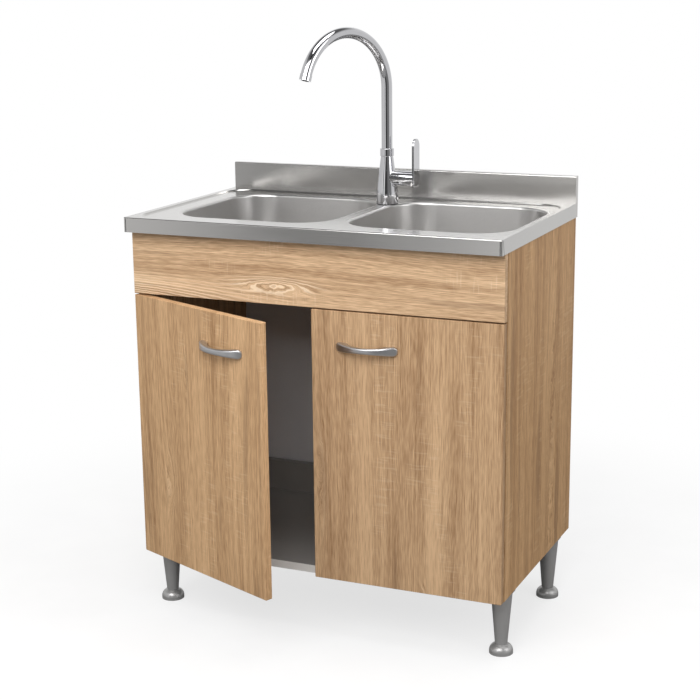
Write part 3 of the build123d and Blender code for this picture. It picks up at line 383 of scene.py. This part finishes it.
def oak_figure(name):
    """Oak decor: growth rings that bend round two figures, fibre streaks, pores and pale cross marks."""
    nodes, given, result = new_group(name, {
        "Board": "Vector", "Light": "Color", "Dark": "Color", "Streak": "Color", "Fleck": "Color",
        "First Place": "Vector", "First Size": "Vector", "Second Place": "Vector", "Second Size": "Vector",
        "Veins": "Float", "Shade": "Color", "Roughness": "Float",
    })
    board = given["Board"]

    def wave(run, scales, detail, reach):
        """Noise along a run that swings by its reach."""
        return nodes.swing(nodes.noise(run, scales, detail), reach)

    # The grain's run across the board, pushed aside by the two figures
    place = nodes.axes(board)
    across = nodes.math("ADD", place["X"], wave(board, *SWAY))
    fold = nodes.math("ADD", FOLD_LEAST, nodes.math("MULTIPLY", given["Veins"], FOLD_GAIN))
    figure = 0.0
    for which in ("First", "Second"):
        size = given[f"{which} Size"]
        away = nodes.vector("SUBTRACT", board, given[f"{which} Place"])["Vector"]
        flat = nodes.vector("MULTIPLY", away, ACROSS_AND_ALONG)["Vector"]
        ratio = nodes.vector("DIVIDE", flat, size)["Vector"]
        square = nodes.vector("DOT_PRODUCT", ratio, ratio)["Value"]
        swell = nodes.math("EXPONENT", nodes.math("MULTIPLY", square, -1.0))
        lift = nodes.math("MULTIPLY", nodes.math("MULTIPLY", nodes.axes(size)["X"], swell), fold)
        across = nodes.math("SUBTRACT", across, lift)
        around = nodes.math("EXPONENT", nodes.math("MULTIPLY", square, -FIGURE_FALL))
        figure = nodes.math("ADD", figure, around, clamp=True)
    across = nodes.math("ADD", across, nodes.math("MULTIPLY", wave(board, *RIPPLE), figure))
    grain = nodes.add("ShaderNodeCombineXYZ", {0: across, 1: place["Y"], 2: place["Z"]}).outputs[0]
    phase = nodes.math("MULTIPLY", across, 2.0 * pi * RINGS_PER_METRE)
    ring = nodes.math("SINE", nodes.math("ADD", phase, wave(grain, *RING_TURN)))

    # Tone from the layers and the growth rings
    layers = {}
    tone = 0.0
    for label, (scales, detail, roughness, reach) in GRAIN_LAYERS.items():
        layers[label] = nodes.noise(grain, scales, detail, roughness)
        tone = nodes.math("ADD", tone, nodes.swing(layers[label], reach))
    strength = nodes.math("MULTIPLY", nodes.math("MULTIPLY", figure, given["Veins"]), RING_GAIN)
    strength = nodes.math("ADD", RING_LEAST, strength)
    tone = nodes.math("SUBTRACT", tone, nodes.math("MULTIPLY", ring, strength))
    tone = nodes.math("ADD", tone, TONE_MIDDLE, clamp=True)
    wood = nodes.mix(tone, given["Light"], given["Dark"])

    # Stains, veins and the core of the second figure, pale saw marks and pores
    marks = {
        label: nodes.between(nodes.noise(run, scales, detail), low, high)
        for run, kinds in ((grain, BENT_MARKS), (board, CROSS_MARKS))
        for label, (scales, detail, low, high) in kinds.items()
    }
    wood = nodes.mix(nodes.math("MULTIPLY", marks["stain"], STAIN_SHARE), wood, given["Streak"])
    veins = nodes.math("MULTIPLY", nodes.between(figure, *VEIN_FIGURE), nodes.between(ring, *VEIN_RING))
    veins = nodes.math("MULTIPLY", veins, given["Veins"], clamp=True)
    wood = nodes.mix(veins, wood, given["Fleck"])
    core = nodes.math("SUBTRACT", CORE_MOST, nodes.math("MULTIPLY", given["Veins"], CORE_LOSS))
    core = nodes.math("MULTIPLY", nodes.between(swell, *CORE_REACH), core)
    wood = nodes.mix(core, wood, given["Streak"])
    saw = nodes.math("MULTIPLY", marks["cluster"], marks["saw"])
    wood = nodes.mix(nodes.math("MULTIPLY", saw, SAW_SHARE), wood, given["Fleck"])
    wood = nodes.mix(nodes.math("MULTIPLY", marks["pore"], PORE_SHARE), wood, given["Streak"])
    # The board's shade multiplies the colour: painted light and shade, board by board
    nodes.feed(result["Color"], nodes.mix(1.0, wood, given["Shade"], "MULTIPLY"))

    fibre_change = nodes.swing(layers["fibre"], FIBRE_ROUGH)
    change = nodes.math("ADD", fibre_change, nodes.math("MULTIPLY", marks["pore"], PORE_ROUGH))
    nodes.feed(result["Roughness"], nodes.math("ADD", given["Roughness"], change))
    sunk = nodes.math("MULTIPLY", marks["pore"], -1.0)
    raised = nodes.math("MULTIPLY", layers["fibre"], FIBRE_HEIGHT)
    nodes.feed(result["Height"], nodes.math("ADD", sunk, raised))
    return nodes.tree


def brushed_lines(name):
    """Fine lines drawn along one direction, with slow cloudy changes."""
    nodes, given, result = new_group(name, {
        "Vector": "Vector", "Lines": "Vector", "Cloud Scale": "Float", "Tone": "Color", "Roughness": "Float",
    })
    lines = nodes.noise(given["Vector"], given["Lines"], BRUSH_DETAIL)
    cloud = nodes.cloud(given["Vector"], given["Cloud Scale"], BRUSH_DETAIL)
    shade = nodes.math("ADD", nodes.spread(lines, *LINE_SHADE), nodes.swing(cloud, CLOUD_SHADE))
    nodes.feed(result["Color"], nodes.mix(1.0, given["Tone"], nodes.grey(shade), "MULTIPLY"))
    change = nodes.math("ADD", nodes.swing(lines, LINE_ROUGH), nodes.swing(cloud, CLOUD_ROUGH))
    nodes.feed(result["Roughness"], nodes.math("ADD", given["Roughness"], change))
    nodes.feed(result["Height"], lines)
    return nodes.tree


def fine_grain(name):
    """Speckle and slow clouding for cast, moulded and plated surfaces."""
    nodes, given, result = new_group(name, {
        "Vector": "Vector", "Speckle Scale": "Float", "Cloud Scale": "Float", "Contrast": "Float",
        "Tone": "Color", "Roughness": "Float",
    })
    speckle = nodes.cloud(given["Vector"], given["Speckle Scale"], SPECKLE_DETAIL)
    cloud = nodes.cloud(given["Vector"], given["Cloud Scale"], CLOUD_DETAIL)
    swing = nodes.math("ADD", nodes.swing(speckle, SPECKLE_SWING), nodes.swing(cloud, CLOUD_SWING))
    shade = nodes.math("ADD", 1.0, nodes.math("MULTIPLY", swing, given["Contrast"]))
    nodes.feed(result["Color"], nodes.mix(1.0, given["Tone"], nodes.grey(shade), "MULTIPLY"))
    change = nodes.math("MULTIPLY", swing, GRAIN_ROUGH)
    nodes.feed(result["Roughness"], nodes.math("ADD", given["Roughness"], change))
    nodes.feed(result["Height"], speckle)
    return nodes.tree


def new_material(name):
    """A material with its node tree, its shader and the coordinates of the piece's own mesh."""
    material = bpy.data.materials.new(name)
    material.use_nodes = True
    nodes = Nodes(material.node_tree)
    shader = material.node_tree.nodes["Principled BSDF"]
    place = nodes.add("ShaderNodeTexCoord").outputs["Object"]
    return material, nodes, shader, place


def finish_shader(nodes, shader, build, values, relief):
    """Place a shared effect with its values and feed a shader from its colour, roughness and height."""
    effect = nodes.add("ShaderNodeGroup", node_tree=shared(build.__name__, build))
    for key, value in values.items():
        nodes.feed(effect.inputs[key], value)
    nodes.feed(shader.inputs["Base Color"], effect.outputs["Color"])
    nodes.feed(shader.inputs["Roughness"], effect.outputs["Roughness"])
    nodes.feed(shader.inputs["Normal"], nodes.bump(effect.outputs["Height"], relief))


def oak_material(name, turn, shift, figures, veins, shade):
    """Oak decor on one board; turn and shift lay its width along X and its grain along Z."""
    look = bpy.context.scene.sink_base_oak
    material, nodes, shader, place = new_material(name)
    board = nodes.add("ShaderNodeMapping", {"Vector": place, "Location": shift, "Rotation": turn}).outputs[0]
    values = {
        "Board": board, "Light": four(look.light), "Dark": four(look.dark), "Streak": four(look.streak),
        "Fleck": four(look.fleck), "Roughness": look.roughness, "Veins": veins, "Shade": shade,
    }
    for which, (across, along, wide, long) in zip(("First", "Second"), figures):
        values[f"{which} Place"] = (across, 0.0, along)
        values[f"{which} Size"] = (wide, 1.0, long)
    finish_shader(nodes, shader, oak_figure, values, look.relief)
    shader.inputs["Specular IOR Level"].default_value = OAK_SPECULAR
    return material


def metal_material(name, tone, roughness, lines, cloud, relief):
    """Sheet metal with brush lines; lines holds the lines' scale along each axis."""
    material, nodes, shader, place = new_material(name)
    values = {
        "Vector": place, "Lines": lines, "Cloud Scale": cloud, "Tone": four(tone), "Roughness": roughness,
    }
    finish_shader(nodes, shader, brushed_lines, values, relief)
    shader.inputs["Metallic"].default_value = 1.0
    return material


def shade_seams(material, seam):
    """Paint shade along the folded seams at the front corners of the sink top, as dark lines."""
    nodes = Nodes(material.node_tree)
    shader = material.node_tree.nodes["Principled BSDF"]
    low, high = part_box("sink_top")
    place = nodes.axes(nodes.add("ShaderNodeTexCoord").outputs["Object"])
    side = nodes.math("SUBTRACT", high[0], nodes.math("ABSOLUTE", place["X"]))
    back = nodes.math("SUBTRACT", place["Y"], low[1])
    drop = nodes.math("SUBTRACT", SINK_RIM, place["Z"])
    fold = nodes.math("ADD", SEAM_INSET, nodes.math("MULTIPLY", drop, SEAM_SLANT))
    lines = []
    for flush, run, middle in ((back, side, SEAM_INSET), (side, back, fold)):
        gap = nodes.math("ABSOLUTE", nodes.math("SUBTRACT", run, middle))
        near = nodes.math("SUBTRACT", 1.0, nodes.between(gap, *SEAM_EDGE))
        lines.append(nodes.math("MULTIPLY", near, nodes.math("LESS_THAN", flush, SEAM_FLUSH)))
    below = nodes.math("GREATER_THAN", drop, SEAM_BELOW_RIM)
    mask = nodes.math("MULTIPLY", nodes.math("MAXIMUM", *lines), below)
    sheet = shader.inputs["Base Color"].links[0].from_socket
    nodes.feed(shader.inputs["Base Color"], nodes.mix(mask, sheet, four(seam)))


def grain_values(place, tone, roughness, contrast, speckle=SPECKLE_SCALE, cloud=CLOUD_SCALE):
    """What the fine grain needs; tone is a colour or a socket."""
    return {
        "Vector": place, "Speckle Scale": speckle, "Cloud Scale": cloud, "Contrast": contrast, "Tone": tone,
        "Roughness": roughness,
    }


def grain_material(name, tone, roughness, metallic=0.0, contrast=0.06, relief=0.00002, **scales):
    """Cast, moulded or plated surface with a fine speckle."""
    material, nodes, shader, place = new_material(name)
    values = grain_values(place, four(tone), roughness, contrast, **scales)
    finish_shader(nodes, shader, fine_grain, values, relief)
    shader.inputs["Metallic"].default_value = metallic
    return material


def edged_material(name, tone, edging, roughness, node):
    """Board surface with a pale band of painted light on the front edge of a node, where the board shows lit.
    """
    material, nodes, shader, place = new_material(name)
    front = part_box(node)[0][1]
    start, end = LIT_BAND_EDGE
    band = nodes.math("SUBTRACT", 1.0, nodes.between(nodes.axes(place)["Y"], front + start, front + end))
    mixed = nodes.mix(band, four(tone), four(edging))
    values = grain_values(place, mixed, roughness, BOARD_CONTRAST)
    finish_shader(nodes, shader, fine_grain, values, BOARD_RELIEF)
    return material


def dress(material, *names):
    """Give a material to CAD nodes."""
    for name in names:
        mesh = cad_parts[name].data
        mesh.materials.clear()
        mesh.materials.append(material)


class SINKBASE_OT_oak_boards(bpy.types.Operator):
    """Finish the doors, the fascia and the side panels in oak decor"""

    bl_idname = "sinkbase.oak_boards"
    bl_label = "Oak boards"

    def execute(self, context):
        for node, board in OAK_BOARDS.items():
            dress(oak_material(f"oak_{node}", **board), node)
        return {"FINISHED"}


class SINKBASE_OT_inner_boards(bpy.types.Operator):
    """Finish the carcass boards, the back panel and the dowels"""

    bl_idname = "sinkbase.inner_boards"
    bl_label = "Inner boards"

    def execute(self, context):
        look = context.scene.sink_base_boards
        fittings = context.scene.sink_base_fittings
        melamine = grain_material(
            "melamine_board", look.melamine, look.roughness, contrast=BOARD_CONTRAST, relief=BOARD_RELIEF
        )
        dress(melamine, "front_rail", "rear_top_rail", "rear_bottom_rail")
        # The bottom panel's pale front edge is painted light, and its grey top is painted shade
        lit_edge_board = edged_material("edged_bottom", look.melamine, look.edging, look.roughness, "bottom_panel")
        dress(lit_edge_board, "bottom_panel")
        hardboard = grain_material("hardboard_back", look.back, look.roughness, contrast=BOARD_CONTRAST)
        dress(hardboard, "back_panel")
        dress(grain_material("beech_dowels", fittings.beech, roughness=0.6, contrast=0.15), "carcass_dowels")
        return {"FINISHED"}


class SINKBASE_OT_sink_steel(bpy.types.Operator):
    """Finish the sink top, the bowls and the steel of the wastes"""

    bl_idname = "sinkbase.sink_steel"
    bl_label = "Sink steel"

    def execute(self, context):
        look = context.scene.sink_base_steel
        brushed = metal_material(
            "brushed_sink_top", look.tone, look.roughness, lines=(9.0, 800.0, 800.0), cloud=3.0,
            relief=look.relief,
        )
        shade_seams(brushed, look.seam)
        dress(brushed, "sink_top")
        satin = metal_material(
            "satin_bowls", look.bowl_tone, look.bowl_roughness, lines=(420.0, 420.0, 420.0), cloud=5.0,
            relief=look.relief,
        )
        dress(satin, "left_bowl", "right_bowl")
        turned = metal_material(
            "turned_wastes", look.tone, look.roughness, lines=(300.0, 300.0, 900.0), cloud=9.0,
            relief=look.relief,
        )
        for side in ("left", "right"):
            dress(turned, f"{side}_waste_flange", f"{side}_strainer_basket")
        return {"FINISHED"}


class SINKBASE_OT_tap(bpy.types.Operator):
    """Finish the mixer tap"""

    bl_idname = "sinkbase.tap"
    bl_label = "Mixer tap"

    def execute(self, context):
        look = context.scene.sink_base_tap
        fittings = context.scene.sink_base_fittings
        chrome = grain_material(
            "tap_chrome", look.tone, look.roughness, metallic=1.0, contrast=0.02, relief=0.000004, speckle=60.0,
            cloud=9.0,
        )
        dress(chrome, "tap_body", "spout_tube", "spout_collar", "aerator", "tap_hub", "tap_lever")
        brass = grain_material("turned_brass", fittings.brass, roughness=0.3, metallic=1.0)
        dress(brass, "tap_fixing_nut", "cartridge_nut", "cartridge_spindle")
        braid = metal_material(
            "steel_tails", fittings.zinc, roughness=0.4, lines=(900.0, 900.0, 500.0), cloud=30.0, relief=0.0003
        )
        dress(braid, "tap_inlet_tails")
        dress(grain_material("cartridge_plastic", look.cartridge, roughness=0.5), "tap_cartridge")
        return {"FINISHED"}


class SINKBASE_OT_handles(bpy.types.Operator):
    """Finish the bow handles"""

    bl_idname = "sinkbase.handles"
    bl_label = "Handles"

    def execute(self, context):
        look = context.scene.sink_base_fittings
        satin = grain_material(
            "satin_handles", look.handle, roughness=0.34, metallic=1.0, contrast=0.04, relief=0.00001,
            speckle=1400.0, cloud=30.0,
        )
        dress(satin, "left_handle", "right_handle")
        return {"FINISHED"}


class SINKBASE_OT_legs(bpy.types.Operator):
    """Finish the legs and the levelling feet"""

    bl_idname = "sinkbase.legs"
    bl_label = "Legs and feet"

    def execute(self, context):
        look = context.scene.sink_base_fittings
        satin = grain_material(
            "satin_legs", look.leg, roughness=0.36, metallic=0.65, contrast=0.05, speckle=1600.0, cloud=20.0
        )
        dress(satin, "legs", "front_left_foot", "front_right_foot", "rear_left_foot", "rear_right_foot")
        return {"FINISHED"}


class SINKBASE_OT_fixings(bpy.types.Operator):
    """Finish the hinges, screws, clips, plates, wastes and seals"""

    bl_idname = "sinkbase.fixings"
    bl_label = "Hinges, fixings and wastes"

    def execute(self, context):
        look = context.scene.sink_base_fittings
        nickel = grain_material("hinge_nickel", look.nickel, roughness=0.28, metallic=1.0)
        dress(nickel, "hinge_plates", "lever_pin")
        zinc = grain_material("zinc_plate", look.zinc, roughness=0.35, metallic=1.0)
        dress(zinc, "fascia_screws", "panel_screws", "waste_screws", "sink_clips", "leg_plates")
        dress(zinc, "tap_backing_washer")
        plastic = grain_material("waste_plastic", look.plastic, roughness=0.42, contrast=0.03)
        for side in ("left", "right"):
            dress(nickel, f"{side}_hinge_arms", f"{side}_hinge_cups", f"{side}_hinge_pins")
            dress(zinc, f"{side}_cup_screws", f"{side}_handle_screws")
            dress(plastic, f"{side}_waste_body")
        rubber = grain_material("seal_rubber", look.rubber, roughness=0.7, contrast=0.10)
        dress(rubber, "waste_gaskets", "tap_base_gasket")
        return {"FINISHED"}


def aimed(position, target):
    """A matrix at a position that looks at a target."""
    turn = (Vector(target) - Vector(position)).to_track_quat("-Z", "Y").to_matrix().to_4x4()
    return Matrix.Translation(position) @ turn


def area_light(name, position, target, size, power):
    """A soft rectangular light."""
    lamp = bpy.data.lights.new(name, "AREA")
    lamp.shape = "RECTANGLE"
    lamp.size, lamp.size_y = size
    lamp.energy = power
    holder = bpy.data.objects.new(name, lamp)
    holder.matrix_world = aimed(position, target)
    bpy.context.scene.collection.objects.link(holder)


def floor_material():
    """Pale floor that keeps the shadow near the cabinet and fades to the white background."""
    material, nodes, shader, place = new_material("stage_floor")
    shader.inputs["Roughness"].default_value = FLOOR_ROUGHNESS
    shader.inputs["Specular IOR Level"].default_value = FLOOR_SPECULAR
    tone = nodes.spread(nodes.noise(place, FLOOR_SCALES, FLOOR_DETAIL), *FLOOR_TONES)
    nodes.feed(shader.inputs["Base Color"], nodes.grey(tone))
    seen = nodes.add("ShaderNodeLightPath").outputs["Is Camera Ray"]
    strength = nodes.math("MULTIPLY", seen, FLOOR_LIFT)
    lift = nodes.add("ShaderNodeEmission", {"Color": WHITE, "Strength": strength}).outputs[0]
    lit = nodes.add("ShaderNodeAddShader", {0: shader.outputs[0], 1: lift}).outputs[0]
    white = nodes.add("ShaderNodeEmission", {"Color": WHITE, "Strength": 1.0}).outputs[0]
    reach = nodes.vector("LENGTH", place)["Value"]
    fade = nodes.math("MULTIPLY", nodes.between(reach, *FLOOR_FADE), seen)
    mixed = nodes.add("ShaderNodeMixShader", {0: fade, 1: lit, 2: white}).outputs[0]
    nodes.feed(material.node_tree.nodes["Material Output"].inputs["Surface"], mixed)
    return material


def studio_world(ambient):
    """White for the camera, a room of pale and dark walls in reflections, and even light elsewhere."""
    world = bpy.data.worlds.new("studio")
    world.use_nodes = True
    nodes = Nodes(world.node_tree)
    background = world.node_tree.nodes["Background"]
    ahead = nodes.axes(nodes.add("ShaderNodeTexCoord").outputs["Generated"])
    bearing = nodes.math("ARCTAN2", ahead["X"], nodes.math("MULTIPLY", ahead["Y"], -1.0))
    walls = nodes.ramp(nodes.math("ADD", nodes.math("DIVIDE", bearing, 2.0 * pi), 0.5), ROOM_WALLS)
    dim = nodes.math("MULTIPLY", nodes.between(ahead["Z"], *CEILING_RISE), CEILING_DIM)
    room = nodes.math("MULTIPLY", walls, nodes.math("SUBTRACT", 1.0, dim))
    path = nodes.add("ShaderNodeLightPath").outputs
    mirrored = nodes.math("MAXIMUM", path["Is Glossy Ray"], path["Is Transmission Ray"])
    other = nodes.math("MULTIPLY", nodes.math("SUBTRACT", 1.0, mirrored), ambient)
    strength = nodes.math("ADD", nodes.math("MULTIPLY", mirrored, room), other)
    strength = nodes.math("MAXIMUM", strength, path["Is Camera Ray"])
    nodes.feed(background.inputs["Strength"], strength)
    background.inputs["Color"].default_value = WHITE
    return world


class SINKBASE_OT_stage(bpy.types.Operator):
    """Make the floor, the lights and the camera"""

    bl_idname = "sinkbase.stage"
    bl_label = "Stage"

    def execute(self, context):
        look = context.scene.sink_base_stage
        mesh = bpy.data.meshes.new("stage_floor")
        disc = bmesh.new()
        bmesh.ops.create_circle(disc, cap_ends=True, segments=FLOOR_SEGMENTS, radius=look.floor_radius)
        disc.to_mesh(mesh)
        disc.free()
        mesh.materials.append(floor_material())
        floor = bpy.data.objects.new("stage_floor", mesh)
        context.scene.collection.objects.link(floor)

        context.scene.world = studio_world(look.ambient)
        for name, (position, target, size, power) in LIGHTS.items():
            area_light(name, position, target, size, getattr(look, power))

        az, el, roll = look.azimuth, look.elevation, look.roll
        back = Vector((sin(az) * cos(el), -cos(az) * cos(el), sin(el)))
        level = Vector((cos(az), sin(az), 0.0))
        rise = back.cross(level)
        right = cos(roll) * level + sin(roll) * rise
        up = cos(roll) * rise - sin(roll) * level
        position = Vector(look.target) + look.distance * back
        data = bpy.data.cameras.new("photo_camera")
        data.lens = look.lens
        data.sensor_width = SENSOR_WIDTH
        camera = bpy.data.objects.new("photo_camera", data)
        axes = Matrix((right, up, back)).transposed().to_4x4()
        camera.matrix_world = Matrix.Translation(position) @ axes
        context.scene.collection.objects.link(camera)
        context.scene.camera = camera
        context.scene.view_settings.view_transform = "Standard"
        return {"FINISHED"}


class SINKBASE_PT_panel(bpy.types.Panel):
    """Lists the steps that dress the cabinet and their settings"""

    bl_idname = "SINKBASE_PT_panel"
    bl_label = "Sink Base"
    bl_space_type = "VIEW_3D"
    bl_region_type = "UI"
    bl_category = "Sink Base"

    def draw(self, context):
        for step in STEPS:
            self.layout.operator(step.bl_idname, text=step.bl_label)
        for name in SETTINGS:
            group = getattr(context.scene, name)
            for key in group.__annotations__:
                self.layout.prop(group, key)


STEPS = (
    SINKBASE_OT_oak_boards,
    SINKBASE_OT_inner_boards,
    SINKBASE_OT_sink_steel,
    SINKBASE_OT_tap,
    SINKBASE_OT_handles,
    SINKBASE_OT_legs,
    SINKBASE_OT_fixings,
    SINKBASE_OT_stage,
)
SETTINGS = {
    "sink_base_oak": SinkBaseOak,
    "sink_base_boards": SinkBaseBoards,
    "sink_base_steel": SinkBaseSteel,
    "sink_base_tap": SinkBaseTap,
    "sink_base_fittings": SinkBaseFittings,
    "sink_base_stage": SinkBaseStage,
}


def register():
    """Register the classes and hang the settings on the scene."""
    for group in (*SETTINGS.values(), *STEPS, SINKBASE_PT_panel):
        bpy.utils.register_class(group)
    for name, group in SETTINGS.items():
        setattr(bpy.types.Scene, name, PointerProperty(type=group))


def unregister():
    """Take the settings and the classes away again."""
    for name in SETTINGS:
        delattr(bpy.types.Scene, name)
    for group in reversed((*SETTINGS.values(), *STEPS, SINKBASE_PT_panel)):
        bpy.utils.unregister_class(group)


def main():
    """Dress the cabinet step by step."""
    register()
    for step in STEPS:
        family, name = step.bl_idname.split(".")
        getattr(getattr(bpy.ops, family), name)()


if __name__ == "__main__":
    main()
